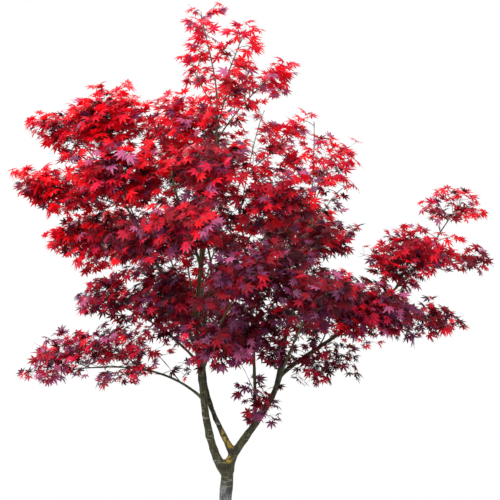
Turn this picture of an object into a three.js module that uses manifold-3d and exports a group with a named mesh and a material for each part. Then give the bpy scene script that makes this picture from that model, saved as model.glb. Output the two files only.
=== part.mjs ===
// A young Japanese maple in red leaf, rooted in the ground: a short trunk that forks low into steep
// stems, boughs that fan out from them, and masses of leafy twigs at the boughs' ends.
// Millimetres, +Z up, +X to the right and +Y to the back. The origin is on the ground under the trunk.
import * as THREE from "three";
import { mergeVertices } from "three/addons/utils/BufferGeometryUtils.js";
import Module from "manifold-3d";

const wasm = await Module();
wasm.setup();

// The trunk: its fork, its radii above the root flare and under the fork, and the flare itself
const forkPlace = [25, 0, 425];
const trunkRadii = [29, 26];
const flareRadius = 24;
const flareHeight = 62;
const rootRidges = 5;
const ridgeShare = 0.22;

// The leaves: the main lobe's length from the junction, and how thick and how drooping a blade is
const lobeLength = 112;
const leafSizes = [0.88, 1.08];
const roomyMass = 125; // leaves shrink with a mass whose half sizes are less than this, and grow with it
const massScales = [0.7, 1.15];
const leafThickness = 4.8;
const leafDroop = 0.2;
const leafTilt = 1.5;
const stalkLength = 34;
// Half of a blade's outline from its back lobe to its front: share of the lobe, degrees off the lead
const halfOutline = [
  [0.68, 84],
  [0.33, 61],
  [0.88, 42],
  [0.4, 20],
  [1, 0],
];

// The twigs: radii at their feet and tips, and how thickly a mass is filled
const stemRadii = [5.6, 3.8];
const twigFoot = 2;
const stalkFoot = 1.1;
const stemSteps = 3;
const leastSlant = 0.3; // of a twig's heading off its carrier's face
const seatShares = [
  [1 / 3, 1 / 3, 1 / 3],
  [0.5, 0.25, 0.25],
  [0.62, 0.19, 0.19],
];
const spacePerLeaf = 4300; // of the area of a mass's three cross-sections
const triesPerLeaf = 12;
const leafSpacing = 0.6; // of a lobe's length, between the middles of blades
const spread = [0.8191725, 0.6710436, 0.5497005]; // steps that fill a space evenly
const spaceFlatness = 1.5; // a mass is this much flatter than wide when spaces are shared out
const overhang = 75; // how far leaf tips may stand out of their mass's rounded outline

// Between neighbouring pieces
const limbGap = 0.3;
const leafGap = 1;

// Each limb: its parent and the share of the parent where it starts, its tip, how it rises from its
// start and settles to its tip, and its radii. A share of 1 carries on from the parent's tip.
const limbRows = [
  ["leftStem", "trunk", 0.88, [-110, -20, 960], [-99, -4, 87], [-25, -5, 220], [18.5, 10.4]],
  ["rightStem", "trunk", 0.9, [245, 20, 783], [4, 0, 90], [58, 8, 180], [18.5, 11]],
  ["middleStem", "rightStem", 0.16, [-60, 130, 1180], [-100, 20, 200], [75, 40, 460], [13, 6]],
  ["leader", "leftStem", 1, [-30, 0, 2030], [0, 0, 200], [-30, -10, 300], [9.8, 4.5]],
  ["leftRiser", "leftStem", 0.86, [-490, -40, 1660], [-60, 5, 170], [-175, -15, 310], [8.5, 3.6]],
  ["innerLeftBough", "leader", 0.28, [-240, 40, 1830], [-50, -5, 150], [-5, 15, 240], [6, 3.6]],
  ["lowLeftBough", "leftStem", 0.56, [-555, -25, 830], [-85, -5, 75], [-270, 0, -20], [5.8, 3.2]],
  ["leftSkirtBough", "leftStem", 0.8, [-375, -30, 1065], [-60, 0, 80], [-100, -5, 50], [6, 3.4]],
  ["centreStem", "rightStem", 0.5, [60, -30, 1550], [10, -5, 190], [-60, 10, 300], [7.5, 3.6]],
  ["rightBough", "rightStem", 1, [700, 0, 1130], [0, 0, 45], [190, 0, 170], [10.2, 5.6]],
  ["rightArm", "rightBough", 1, [925, 10, 1390], [70, 0, 70], [60, 0, 110], [5.2, 3.4]],
  ["rightRiser", "rightStem", 0.93, [395, 20, 1560], [25, 0, 230], [20, 0, 260], [8, 3.6]],
  ["frontLowBough", "leftStem", 0.72, [40, -370, 1120], [30, -90, 100], [50, -130, 95], [7, 3.6]],
  ["frontHighBough", "leader", 0.22, [-80, -290, 1560], [5, -80, 130], [-5, -80, 130], [6.5, 3.6]],
  ["frontRightBough", "rightStem", 0.86, [350, -360, 1100], [20, -80, 80], [30, -130, 85], [6.8, 3.6]],
  ["backLowBough", "middleStem", 0.52, [-130, 400, 1060], [-10, 80, 90], [-25, 120, 65], [6, 3.4]],
  ["backLeftBough", "middleStem", 0.72, [-390, 370, 1330], [-60, 70, 100], [-120, 90, 80], [6, 3.4]],
  ["backHighBough", "middleStem", 1, [-145, 310, 1590], [-15, 25, 140], [-30, 60, 150], [5.6, 3.6]],
  ["backRightBough", "rightRiser", 0.3, [300, 380, 1370], [5, 90, 110], [0, 120, 90], [6, 3.4]],
];

// Each mass of foliage: its limb and the share of the limb where its stem starts, its centre and its
// half sizes along X, Y and Z
const massRows = [
  ["spireTip", "leader", 1, [-90, 10, 2318], [66, 90, 107]],
  ["spireRight", "leader", 0.93, [72, -60, 2202], [80, 90, 108]],
  ["spireLeft", "leader", 0.88, [-125, 40, 2098], [65, 95, 128]],
  ["shoulderRight", "leader", 0.78, [186, 0, 2064], [160, 120, 75]],
  ["shoulderFront", "leader", 0.83, [20, -130, 1985], [105, 110, 100]],
  ["shoulderBack", "leader", 0.68, [-90, 100, 1890], [130, 130, 105]],
  ["crownLeftIn", "innerLeftBough", 1, [-235, 50, 1860], [120, 130, 120]],
  ["crownLeftMid", "leftRiser", 1, [-500, -60, 1890], [165, 150, 130]],
  ["crownLeftOut", "leftRiser", 0.93, [-672, 20, 1866], [170, 110, 98]],
  ["leftOut", "leftRiser", 0.8, [-680, -40, 1582], [205, 130, 100]],
  ["leftIn", "leftRiser", 0.66, [-420, -250, 1640], [185, 150, 125]],
  ["leftLowOut", "leftRiser", 0.5, [-590, 60, 1385], [170, 130, 138]],
  ["leftLowIn", "leftRiser", 0.35, [-320, -300, 1380], [130, 150, 110]],
  ["leftSkirtOut", "leftSkirtBough", 1, [-490, -30, 1116], [160, 130, 90]],
  ["leftSkirtIn", "leftSkirtBough", 0.45, [-245, -160, 1110], [118, 130, 126]],
  ["lowLeftOut", "lowLeftBough", 1, [-672, -20, 888], [152, 110, 88]],
  ["lowLeftIn", "lowLeftBough", 0.55, [-480, -40, 926], [138, 120, 110]],
  ["heartHigh", "frontHighBough", 1, [-45, -330, 1672], [150, 150, 112]],
  ["heartMid", "frontHighBough", 0.5, [-130, -470, 1435], [155, 150, 115]],
  ["heartLow", "frontLowBough", 1, [85, -500, 1222], [140, 150, 104]],
  ["skirtFront", "frontLowBough", 0.4, [0, -280, 955], [150, 140, 90]],
  ["rightTopIn", "centreStem", 1, [250, 30, 1775], [115, 130, 112]],
  ["rightTopOut", "rightRiser", 1, [448, 10, 1692], [142, 140, 120]],
  ["rightMidIn", "centreStem", 0.78, [228, -230, 1536], [160, 150, 110]],
  ["rightMidOut", "rightRiser", 0.62, [446, 20, 1364], [112, 130, 76]],
  ["rightMidLow", "centreStem", 0.5, [225, -400, 1300], [140, 150, 95]],
  ["rightFront", "frontRightBough", 1, [400, -500, 1170], [160, 160, 90]],
  ["centreSkirt", "centreStem", 0.34, [150, -100, 1010], [130, 130, 110]],
  ["rightSkirt", "rightBough", 0.18, [395, -20, 850], [190, 150, 75]],
  ["rightLowMid", "rightBough", 0.5, [640, -160, 1080], [165, 140, 122]],
  ["rightLowOut", "rightBough", 0.82, [870, 30, 1025], [155, 120, 92]],
  ["armLow", "rightArm", 0.15, [797, -40, 1304], [148, 140, 110]],
  ["armOut", "rightArm", 0.55, [1055, 10, 1285], [140, 110, 65]],
  ["armTop", "rightArm", 1, [1005, 20, 1505], [115, 110, 95]],
  ["stemSpray", "rightStem", 0.62, [165, -60, 640], [48, 66, 58]],
  ["backLow", "backLowBough", 1, [-150, 520, 1090], [190, 170, 135]],
  ["backLeft", "backLeftBough", 1, [-530, 480, 1400], [200, 170, 135]],
  ["backTop", "backHighBough", 1, [-160, 400, 1710], [185, 170, 140]],
  ["backRight", "backRightBough", 1, [350, 500, 1450], [200, 170, 135]],
  ["backRightLow", "rightBough", 0.36, [490, 420, 1070], [195, 160, 120]],
];

const barkColour = "#6b6356";
const leafColours = ["#4f0d1d", "#7c1026", "#a91128", "#cf1522"]; // from the shaded foot to the top

const vector = (place) => new THREE.Vector3(...place);

// The same run of numbers from 0 to 1 for the same seed
function seeded(seed) {
  let state = seed;
  return () => {
    state = (Math.imul(state, 1664525) + 1013904223) >>> 0;
    return state / 2 ** 32;
  };
}

function solidOf(geometry) {
  geometry.deleteAttribute("normal");
  geometry.deleteAttribute("uv");
  const merged = mergeVertices(geometry, 1e-3);
  return new wasm.Manifold(
    new wasm.Mesh({
      numProp: 3,
      vertProperties: merged.attributes.position.array,
      triVerts: new Uint32Array(merged.index.array),
    }),
  );
}

// A cylinder bent along a curve, with a radius for each share of its length and angle round it. A
// grown one is larger all over by grow, for cutting its neighbours clear.
function bentCylinder(curve, radiusAt, sides, steps, grow = 0) {
  const geometry = new THREE.CylinderGeometry(1, 1, 1, sides, steps);
  const { tangents, normals, binormals } = curve.computeFrenetFrames(steps, false);
  const position = geometry.attributes.position;
  const point = new THREE.Vector3();
  for (let i = 0; i < position.count; i++) {
    const across = position.getX(i);
    const along = position.getZ(i);
    const step = Math.round((position.getY(i) + 0.5) * steps);
    const onAxis = across === 0 && along === 0;
    const radius = onAxis ? 0 : radiusAt(step / steps, Math.atan2(across, along)) + grow;
    const overrun = step === steps ? grow : step === 0 ? -grow : 0;
    point
      .copy(curve.getPointAt(step / steps))
      .addScaledVector(binormals[step], across * radius)
      .addScaledVector(normals[step], along * radius)
      .addScaledVector(tangents[step], overrun);
    if (step === 0 && curve.getPointAt(0).z === 0) point.z = 0; // stands flat on the ground
    position.setXYZ(i, point.x, point.y, point.z);
  }
  return solidOf(geometry);
}

const largestBody = (solid) =>
  solid.decompose().reduce((most, body) => (body.volume() > most.volume() ? body : most));

// The trunk flares into low root ridges at the ground and rounds over where it forks
function trunkLimb() {
  const curve = new THREE.CubicBezierCurve3(
    new THREE.Vector3(),
    new THREE.Vector3(0, 0, forkPlace[2] * 0.35),
    new THREE.Vector3(forkPlace[0] * 0.5, 0, forkPlace[2] * 0.7),
    vector(forkPlace),
  );
  const domeFrom = 0.9;
  const radiusAt = (share, angle) => {
    const flare = Math.exp((-share * forkPlace[2]) / flareHeight);
    const ridge = 1 + ridgeShare * flare * Math.cos(rootRidges * angle);
    const straight = THREE.MathUtils.lerp(...trunkRadii, share) + flareRadius * flare * ridge;
    const over = Math.max(0, (share - domeFrom) / (1 - domeFrom));
    return straight * Math.sqrt(1 - 0.8 * over * over);
  };
  const build = (grow) => bentCylinder(curve, radiusAt, 15, 9, grow);
  return { name: "trunk", curve, solid: build(0), cutter: build(limbGap), radiusAt };
}

// One tapering limb, cut clear of its parent and of the limbs that leave its parent beside it
function taperingLimb([name, parentName, share, tip, rise, settle, radii], limbs) {
  const parent = limbs.get(parentName);
  const start = parent.curve.getPointAt(share);
  const tangent = parent.curve.getTangentAt(share);
  const carriesOn = share === 1;
  if (carriesOn) start.addScaledVector(tangent, limbGap);
  const lift = carriesOn ? tangent.multiplyScalar(vector(rise).length()) : vector(rise);
  const end = vector(tip);
  const curve = new THREE.CubicBezierCurve3(
    start,
    start.clone().add(lift),
    end.clone().sub(vector(settle)),
    end,
  );
  const radiusAt = (at) => THREE.MathUtils.lerp(...radii, at);
  const sides = radii[0] > 12 ? 9 : 6;
  const steps = Math.max(5, Math.round(curve.getLength() / 90));
  const build = (grow) => bentCylinder(curve, radiusAt, sides, steps, grow);
  let solid = build(0);
  for (const other of limbs.values())
    if (other.name === parentName || other.parentName === parentName)
      if (!(carriesOn && other.name === parentName)) solid = solid.subtract(other.cutter);
  return { name, parentName, curve, radiusAt, solid: largestBody(solid), cutter: build(limbGap) };
}

function allLimbs() {
  const limbs = new Map([["trunk", trunkLimb()]]);
  for (const row of limbRows) limbs.set(row[0], taperingLimb(row, limbs));
  return limbs;
}

// How far a place lies from a mass's centre, less the mass's own reach. A place belongs to the mass
// for which this is least, so that the spaces are convex and never meet.
function farFrom(mass, place) {
  const x = place.x - mass.centre.x;
  const y = place.y - mass.centre.y;
  const z = (place.z - mass.centre.z) * spaceFlatness;
  return x * x + y * y + z * z - mass.reach * mass.reach;
}

function ownSpace(mass, masses, place, gap) {
  const { centre, half } = mass;
  const inside = Math.hypot(
    (place.x - centre.x) / (half.x + overhang),
    (place.y - centre.y) / (half.y + overhang),
    (place.z - centre.z) / (half.z + overhang),
  );
  if (inside > 1) return false;
  const own = farFrom(mass, place);
  return masses.every((other) => {
    if (other === mass) return true;
    const slope = Math.hypot(
      2 * (other.centre.x - centre.x),
      2 * (other.centre.y - centre.y),
      2 * (other.centre.z - centre.z) * spaceFlatness ** 2,
    );
    return (farFrom(other, place) - own) / slope > gap;
  });
}

// The stem of a mass, from its limb to past the middle of its space
function massStem([name, limbName, share, centrePlace, halfSizes], limbs, index) {
  const limb = limbs.get(limbName);
  const centre = vector(centrePlace);
  const half = vector(halfSizes);
  const reach = (half.x + half.y + spaceFlatness * half.z) / 3;
  const start = limb.curve.getPointAt(share);
  const tangent = limb.curve.getTangentAt(share);
  const fromTip = share === 1;
  if (fromTip) start.addScaledVector(tangent, limbGap);
  const heading = centre.clone().sub(start);
  const length = heading.length();
  const onward = heading.clone().normalize().multiply(half).multiplyScalar(0.4);
  const end = centre.clone().add(onward);
  const lean = fromTip ? tangent : heading.normalize().addScaledVector(tangent, 0.5).normalize();
  const curve = new THREE.CubicBezierCurve3(
    start,
    start.clone().addScaledVector(lean, length * 0.35),
    centre.clone().addScaledVector(onward, -0.6),
    end,
  );
  const radiusAt = (at) => THREE.MathUtils.lerp(...stemRadii, at);
  const steps = stemSteps + Math.round(length / 250);
  let solid = bentCylinder(curve, radiusAt, 3, steps);
  if (!fromTip) solid = largestBody(solid.subtract(limb.cutter));
  return { name, limb, centre, half, reach, curve, solid, seed: index + 1 };
}

// Where a leaf faces and points: up and away from the crown's middle, and along its twig, drooping
function leafFrame(place, along, random) {
  const outward = new THREE.Vector3(place.x, place.y, 0).normalize();
  const facing = new THREE.Vector3(0, 0, 0.5).addScaledVector(outward, 0.55);
  facing.x += leafTilt * (random() - 0.5);
  facing.y += leafTilt * (random() - 0.5);
  facing.normalize();
  const lead = along.clone().normalize();
  lead.z -= 0.3;
  lead.addScaledVector(facing, -lead.dot(facing)).normalize();
  return { lead, facing, side: new THREE.Vector3().crossVectors(lead, facing) };
}

// A blade on a three-sided stalk: its places, the foot's ring first, and its faces but for the foot
function stalkedLeaf(ring, junction, frame, size) {
  const { lead, facing, side } = frame;
  const at = (ahead, aside, above) =>
    junction
      .clone()
      .addScaledVector(lead, ahead)
      .addScaledVector(side, aside)
      .addScaledVector(facing, above);
  const thick = leafThickness / 2;
  const centre = [at(0, 0, thick), at(0, -thick, -thick), at(0, thick, -thick)];
  const rightHalf = halfOutline.slice(0, -1).reverse();
  const outline = [...halfOutline, ...rightHalf].map(([reach, degrees], i) => {
    const hand = i < halfOutline.length ? -1 : 1;
    const angle = THREE.MathUtils.degToRad(degrees);
    const out = reach * lobeLength * size;
    return at(out * Math.cos(angle), hand * out * Math.sin(angle), -leafDroop * reach * out);
  });
  const [top, left, right, first] = [3, 4, 5, 6];
  const front = first + halfOutline.length - 1;
  const last = first + outline.length - 1;
  const stalk = [0, 1, 2].flatMap((i) => {
    const next = (i + 1) % 3;
    return [[top + i, top + next, next], [top + i, next, i]];
  });
  const blade = [[top, first, left], [left, front, right], [top, right, last]];
  for (let i = first; i < last; i++)
    blade.push([top, i + 1, i], [i < front ? left : right, i, i + 1]);
  const turned = untwisted(ring, centre);
  const middle = at(0.35 * lobeLength * size, 0, 0);
  return { places: [...turned, ...centre, ...outline], stalk, blade, middle };
}

// The ring's places in the order that lies straightest below the other ring's
function untwisted(ring, above) {
  const orders = [0, 1, 2].map((turn) => ring.map((_, i) => ring[(i + turn) % 3]));
  const length = (order) => order.reduce((sum, place, i) => sum + place.distanceTo(above[i]), 0);
  return orders.reduce((best, order) => (length(order) < length(best) ? order : best));
}

// The leaf as a solid of its own, with its foot moved up the stalk by a share
function leafSolid({ places, stalk, blade }, share) {
  const raised = places.map((place, i) => (i < 3 ? place.clone().lerp(places[i + 3], share) : place));
  const geometry = new THREE.BufferGeometry().setFromPoints(raised);
  geometry.setIndex([[0, 1, 2], ...stalk, ...blade].flat());
  return solidOf(geometry);
}

function boxed(name, solid) {
  return { name, solid, box: solid.boundingBox() };
}

function clearOf(solid, obstacles, gap) {
  const { min, max } = solid.boundingBox();
  return obstacles.every(({ box, solid: other }) => {
    const apart = [0, 1, 2].some((k) => box.min[k] > max[k] + gap || box.max[k] < min[k] - gap);
    return apart || solid.minGap(other, 2 * gap) > gap;
  });
}

// A solid as lists of places and faces, which twigs and leaves are grown onto
function growingBody(solid) {
  const { vertProperties, triVerts } = solid.getMesh();
  const places = [];
  for (let i = 0; i < vertProperties.length; i += 3)
    places.push(new THREE.Vector3().fromArray(vertProperties, i));
  const faces = [];
  for (let i = 0; i < triVerts.length; i += 3)
    faces.push({ corners: Array.from(triVerts.slice(i, i + 3)), owner: "stem" });
  return { places, faces };
}

// Where a foot of this radius can sit: inside one face of its owner's wood, near the wanted place
function findSeat(body, owner, wanted, heading, radius) {
  let best = null;
  for (const face of body.faces) {
    if (face.owner !== owner) continue;
    const triangle = new THREE.Triangle(...face.corners.map((i) => body.places[i]));
    const normal = triangle.getNormal(new THREE.Vector3());
    const slant = normal.dot(heading);
    if (slant < leastSlant) continue;
    const corners = [triangle.a, triangle.b, triangle.c];
    const edges = corners.map((corner, i) => corners[(i + 1) % 3].clone().sub(corner));
    const long = edges.reduce((most, edge) => (edge.length() > most.length() ? edge : most));
    const across = new THREE.Vector3().crossVectors(normal, long.normalize());
    for (let turn = 0; turn < 3; turn++)
      for (const shares of seatShares) {
        const middle = new THREE.Vector3();
        shares.forEach((share, i) => middle.addScaledVector(corners[(i + turn) % 3], share));
        const score = middle.distanceTo(wanted) - 12 * slant;
        if (best && score >= best.score) continue;
        const ring = [90, 330, 210].map((degrees) => {
          const angle = THREE.MathUtils.degToRad(degrees);
          return middle
            .clone()
            .addScaledVector(long, 1.5 * radius * Math.cos(angle))
            .addScaledVector(across, 0.8 * radius * Math.sin(angle));
        });
        const inside = ring.every((place) => {
          const within = triangle.getBarycoord(place, new THREE.Vector3());
          return within && Math.min(within.x, within.y, within.z) > 0.03;
        });
        if (inside) best = { score, face, middle, ring, long, across };
      }
  }
  return best;
}

// The leaf takes its foot's ring out of the seat's face, and the body goes on into its stalk
function growOn(body, seat, leaf, owner) {
  const first = body.places.length;
  body.places.push(...leaf.places);
  const around = [...seat.face.corners, first, first + 1, first + 2];
  const [a, b, c, ...hole] = around.map((i) => {
    const from = body.places[i].clone().sub(seat.middle);
    return new THREE.Vector2(from.dot(seat.long), from.dot(seat.across));
  });
  const points = [a, b, c, ...hole];
  const faces = THREE.ShapeUtils.triangulateShape([a, b, c], [hole]).map((face) => {
    const [p, q, r] = face.map((i) => points[i]);
    const leftTurn = q.clone().sub(p).cross(r.clone().sub(p)) > 0;
    const corners = face.map((i) => around[i]);
    return { corners: leftTurn ? corners : corners.reverse(), owner: seat.face.owner };
  });
  body.faces.splice(body.faces.indexOf(seat.face), 1, ...faces);
  const moved = (face) => face.map((i) => i + first);
  for (const face of leaf.stalk) body.faces.push({ corners: moved(face), owner });
  for (const face of leaf.blade) body.faces.push({ corners: moved(face), owner: "blade" });
}

function solidBody(body) {
  const geometry = new THREE.BufferGeometry().setFromPoints(body.places);
  geometry.setIndex(body.faces.flatMap((face) => face.corners));
  return solidOf(geometry);
}

// A mass of leafy twigs on one stem. Twigs leave the stem for places spread evenly over the space,
// each with a leaf at its tip and a pair on its way, and what would leave the space is skipped.
function leafyMass(mass, masses, obstacles) {
  const random = seeded(mass.seed * 7919);
  const { centre, half, curve } = mass;
  const scale = THREE.MathUtils.clamp(Math.cbrt(half.x * half.y * half.z) / roomyMass, ...massScales);
  const body = growingBody(mass.solid);
  const stem = boxed("stem", mass.solid);
  const leaves = [];

  function addLeaf(carrier, wanted, radius, junctionFrom, along) {
    const size = scale * THREE.MathUtils.lerp(...leafSizes, random());
    const seat = findSeat(body, carrier.name, wanted, along.clone().normalize(), radius);
    if (!seat) return null;
    const junction = junctionFrom(seat.middle);
    const frame = leafFrame(junction, along, random);
    const leaf = stalkedLeaf(seat.ring, junction, frame, size);
    const spacing = leafSpacing * lobeLength * scale;
    if (leaves.some((other) => other.middle.distanceTo(leaf.middle) < spacing)) return null;
    if (!leaf.places.every((place) => ownSpace(mass, masses, place, leafGap))) return null;
    const others = [stem, ...leaves].filter((other) => other !== carrier);
    const whole = leafSolid(leaf, 0);
    if (!clearOf(whole, [...obstacles, ...others], leafGap)) return null;
    if (!clearOf(leafSolid(leaf, 0.2), [carrier], leafGap)) return null;
    Object.assign(leaf, boxed(`twig${leaves.length}`, whole));
    growOn(body, seat, leaf, leaf.name);
    leaves.push(leaf);
    return leaf;
  }

  const margin = 0.15 * lobeLength * scale;
  const inner = half.clone().subScalar(margin).max(half.clone().multiplyScalar(0.4));
  const area = half.x * half.y + half.y * half.z + half.z * half.x;
  const wanted = Math.round(area / (spacePerLeaf * scale * scale));
  for (let k = 0; k < wanted * triesPerLeaf && leaves.length < wanted; k++) {
    const [turn, rise, depth] = spread.map((step) => (mass.seed * 0.37 + k * step) % 1);
    const height = 2 * rise - 1;
    const round = Math.sqrt(1 - height * height);
    const angle = turn * 2 * Math.PI;
    const way = new THREE.Vector3(round * Math.cos(angle), round * Math.sin(angle), height);
    const tip = centre.clone().add(way.clone().multiply(inner).multiplyScalar(Math.cbrt(depth)));
    const foot = footOn(curve, tip);
    const along = tip.clone().sub(foot);
    const twig = addLeaf(stem, foot, twigFoot, () => tip, along);
    if (!twig) continue;
    const across = new THREE.Vector3(0, 0, 1).cross(along).normalize();
    for (const hand of [-1, 1]) {
      const root = foot.clone().lerp(tip, 0.5 + 0.06 * hand);
      const aside = along.clone().normalize().multiplyScalar(0.6).addScaledVector(across, hand);
      aside.normalize();
      const onStalk = (place) => place.clone().addScaledVector(aside, stalkLength);
      addLeaf(twig, root, stalkFoot, onStalk, aside);
    }
  }
  return { ...mass, solid: solidBody(body), leaves: leaves.length };
}

// A twig leaves its stem short of the place it heads for, so that it points forward
function footOn(curve, tip) {
  const shares = Array.from({ length: 21 }, (_, i) => i / 20);
  const gaps = shares.map((share) => curve.getPointAt(share).distanceTo(tip));
  const nearest = shares[gaps.indexOf(Math.min(...gaps))];
  const back = (0.6 * Math.min(...gaps)) / curve.getLength();
  return curve.getPointAt(THREE.MathUtils.clamp(nearest - back, 0.3, 0.95));
}

function meshOf(name, solid, colour, roughness) {
  const { vertProperties, triVerts } = solid.getMesh();
  const geometry = new THREE.BufferGeometry();
  geometry.setAttribute("position", new THREE.BufferAttribute(vertProperties, 3));
  geometry.setIndex(new THREE.BufferAttribute(triVerts, 1));
  geometry.computeVertexNormals();
  const material = new THREE.MeshStandardMaterial({ color: colour, roughness, metalness: 0 });
  const mesh = new THREE.Mesh(geometry, material);
  mesh.name = name;
  return mesh;
}

// The foliage is darkest low on the right and brightest high on the left
function leafColour(centre) {
  const light = (centre.z - 700) / 1500 - centre.x / 3000;
  const shade = Math.floor(THREE.MathUtils.clamp(light, 0, 0.999) * leafColours.length);
  return leafColours[shade];
}

function makeTree() {
  const tree = new THREE.Group();
  const limbs = allLimbs();
  for (const limb of limbs.values()) tree.add(meshOf(limb.name, limb.solid, barkColour, 0.85));
  const masses = massRows.map((row, index) => massStem(row, limbs, index));
  const wood = [...limbs.values(), ...masses].map((piece) => boxed(piece.name, piece.solid));
  for (const mass of masses) {
    const obstacles = wood.filter((piece) => piece.name !== mass.name);
    const { solid } = leafyMass(mass, masses, obstacles);
    tree.add(meshOf(`${mass.name}Foliage`, solid, leafColour(mass.centre), 0.6));
  }
  return tree;
}

export default makeTree();
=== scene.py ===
import math

import bmesh
import bpy
import numpy as np
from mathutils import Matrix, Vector, noise


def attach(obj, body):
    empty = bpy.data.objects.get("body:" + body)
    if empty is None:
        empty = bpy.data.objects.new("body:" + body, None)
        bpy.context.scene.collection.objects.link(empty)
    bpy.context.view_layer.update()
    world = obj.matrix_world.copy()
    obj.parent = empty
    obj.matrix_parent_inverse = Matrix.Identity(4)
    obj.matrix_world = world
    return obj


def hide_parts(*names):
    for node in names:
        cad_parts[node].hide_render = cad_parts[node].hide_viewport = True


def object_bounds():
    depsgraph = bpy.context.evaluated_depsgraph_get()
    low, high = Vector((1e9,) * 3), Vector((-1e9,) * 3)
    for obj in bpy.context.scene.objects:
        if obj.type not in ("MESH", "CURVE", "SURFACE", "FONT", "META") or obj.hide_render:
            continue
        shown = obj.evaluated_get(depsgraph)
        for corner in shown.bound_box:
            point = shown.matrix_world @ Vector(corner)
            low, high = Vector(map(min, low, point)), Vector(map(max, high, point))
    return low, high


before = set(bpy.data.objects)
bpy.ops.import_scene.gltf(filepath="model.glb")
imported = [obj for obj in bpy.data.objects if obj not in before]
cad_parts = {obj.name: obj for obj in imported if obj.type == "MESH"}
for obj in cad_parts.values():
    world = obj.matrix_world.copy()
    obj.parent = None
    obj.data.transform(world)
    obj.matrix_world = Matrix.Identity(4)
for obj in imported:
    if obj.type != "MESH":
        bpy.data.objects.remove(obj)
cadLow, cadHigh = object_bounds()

mm = 0.001
scene = bpy.context.scene

view = {
    "cameraPlace": (0.116, -4.5, 1.333),
    "lens": 75.35,
    "sensor": 36.0,
    "floorRadius": 1.04,
    "floorSides": 96,
    "floorColour": (0.86, 0.86, 0.85, 1),
    "floorRoughness": 0.8,
    "backdrop": (1, 1, 1, 1),
    "skyColour": (0.93, 0.95, 1, 1),
    "skySpan": (-0.6, 0.7),  # how far up the sky its light starts to grow, and is full
    "skyStrength": (0.65, 1.3),
}

# name, place, where it aims, power, size
lampRows = [
    ("keyLight", (-2.6, -3.2, 4.4), (0, 0, 1.5), 372, 2.4),
    ("backLight", (-1.4, 3.2, 4.6), (0.1, 0, 1.5), 260, 2.6),
    ("fillLight", (3.4, -3.0, 1.6), (0.1, 0, 1.2), 70, 3.0),
]


def linked(name, data):
    made = bpy.data.objects.new(name, data)
    scene.collection.objects.link(made)
    return made


def shaped(name, shape):
    mesh = bpy.data.meshes.new(name)
    shape.to_mesh(mesh)
    shape.free()
    return linked(name, mesh)


def newPaint(name):
    paint = bpy.data.materials.new(name)
    paint.use_nodes = True
    return paint, paint.node_tree, paint.node_tree.nodes["Principled BSDF"]


def lamp(name, place, aim, power, size):
    data = bpy.data.lights.new(name, "AREA")
    data.energy = power
    data.size = size
    made = linked(name, data)
    made.location = place
    made.rotation_euler = (Vector(aim) - Vector(place)).to_track_quat("-Z", "Y").to_euler()


def addNode(tree, kind, values=None, operation=None):
    made = tree.nodes.new("ShaderNode" + kind)
    if operation:
        made.operation = operation
    for title, value in (values or {}).items():
        made.inputs[title].default_value = value
    return made


def wire(tree, *pairs):
    for source, target in pairs:
        tree.links.new(source, target)


def studio():
    data = bpy.data.cameras.new("camera")
    data.lens = view["lens"]
    data.sensor_width = view["sensor"]
    camera = linked("camera", data)
    camera.location = view["cameraPlace"]
    camera.rotation_euler = (math.radians(90), 0, 0)
    scene.camera = camera
    scene.view_settings.view_transform = "Standard"
    for row in lampRows:
        lamp(*row)


# the camera sees a white backdrop, and the tree is lit by a soft sky
def paleSky():
    world = bpy.data.worlds.new("paleStudio")
    world.use_nodes = True
    scene.world = world
    tree = world.node_tree
    tree.nodes.clear()
    low, high = view["skySpan"]
    least, most = view["skyStrength"]
    out = addNode(tree, "OutputWorld")
    mix = addNode(tree, "MixShader")
    path = addNode(tree, "LightPath")
    seen = addNode(tree, "Background", {"Color": view["backdrop"]})
    sky = addNode(tree, "Background", {"Color": view["skyColour"]})
    place = addNode(tree, "TexCoord")
    split = addNode(tree, "SeparateXYZ")
    span = addNode(tree, "MapRange", {"From Min": low, "From Max": high, "To Min": least, "To Max": most})
    wire(
        tree,
        (place.outputs["Generated"], split.inputs[0]),
        (split.outputs["Z"], span.inputs["Value"]),
        (span.outputs[0], sky.inputs["Strength"]),
        (path.outputs["Is Camera Ray"], mix.inputs[0]),
        (sky.outputs[0], mix.inputs[1]),
        (seen.outputs[0], mix.inputs[2]),
        (mix.outputs[0], out.inputs[0]),
    )


def paleFloor():
    shape = bmesh.new()
    bmesh.ops.create_circle(shape, cap_ends=True, segments=view["floorSides"], radius=view["floorRadius"])
    floor = shaped("floor", shape)
    paint, _, base = newPaint("palePaper")
    base.inputs["Base Color"].default_value = view["floorColour"]
    base.inputs["Roughness"].default_value = view["floorRoughness"]
    floor.data.materials.append(paint)


studio()
paleSky()
paleFloor()
print("studio ready")


# numbers from 0 to 1, the same each run, from a seed
def seeded(seed):
    state = seed

    def following():
        nonlocal state
        state = (state * 1664525 + 1013904223) % 2**32
        return state / 2**32

    return following


def unit(way):
    return way / (np.linalg.norm(way) + 1e-12)


# a pair holds the least value and how much more there is at most
def ranged(pair, share):
    return pair[0] + pair[1] * share


# a curve that leaves its start towards one point and comes to its end from another
def bend(start, leave, arrive, end):
    t = np.linspace(0, 1, 121)[:, None]
    points = (1 - t) ** 3 * start + 3 * (1 - t) ** 2 * t * leave + 3 * (1 - t) * t**2 * arrive + t**3 * end
    run = np.concatenate([[0], np.cumsum(np.linalg.norm(np.diff(points, axis=0), axis=1))])
    return {"points": points, "run": run / run[-1], "length": run[-1]}


def placeOn(curve, share):
    return np.stack([np.interp(share, curve["run"], curve["points"][:, k]) for k in range(3)], -1)


def headingOn(curve, share):
    return unit(placeOn(curve, min(share + 0.01, 1)) - placeOn(curve, max(share - 0.01, 0)))


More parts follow.
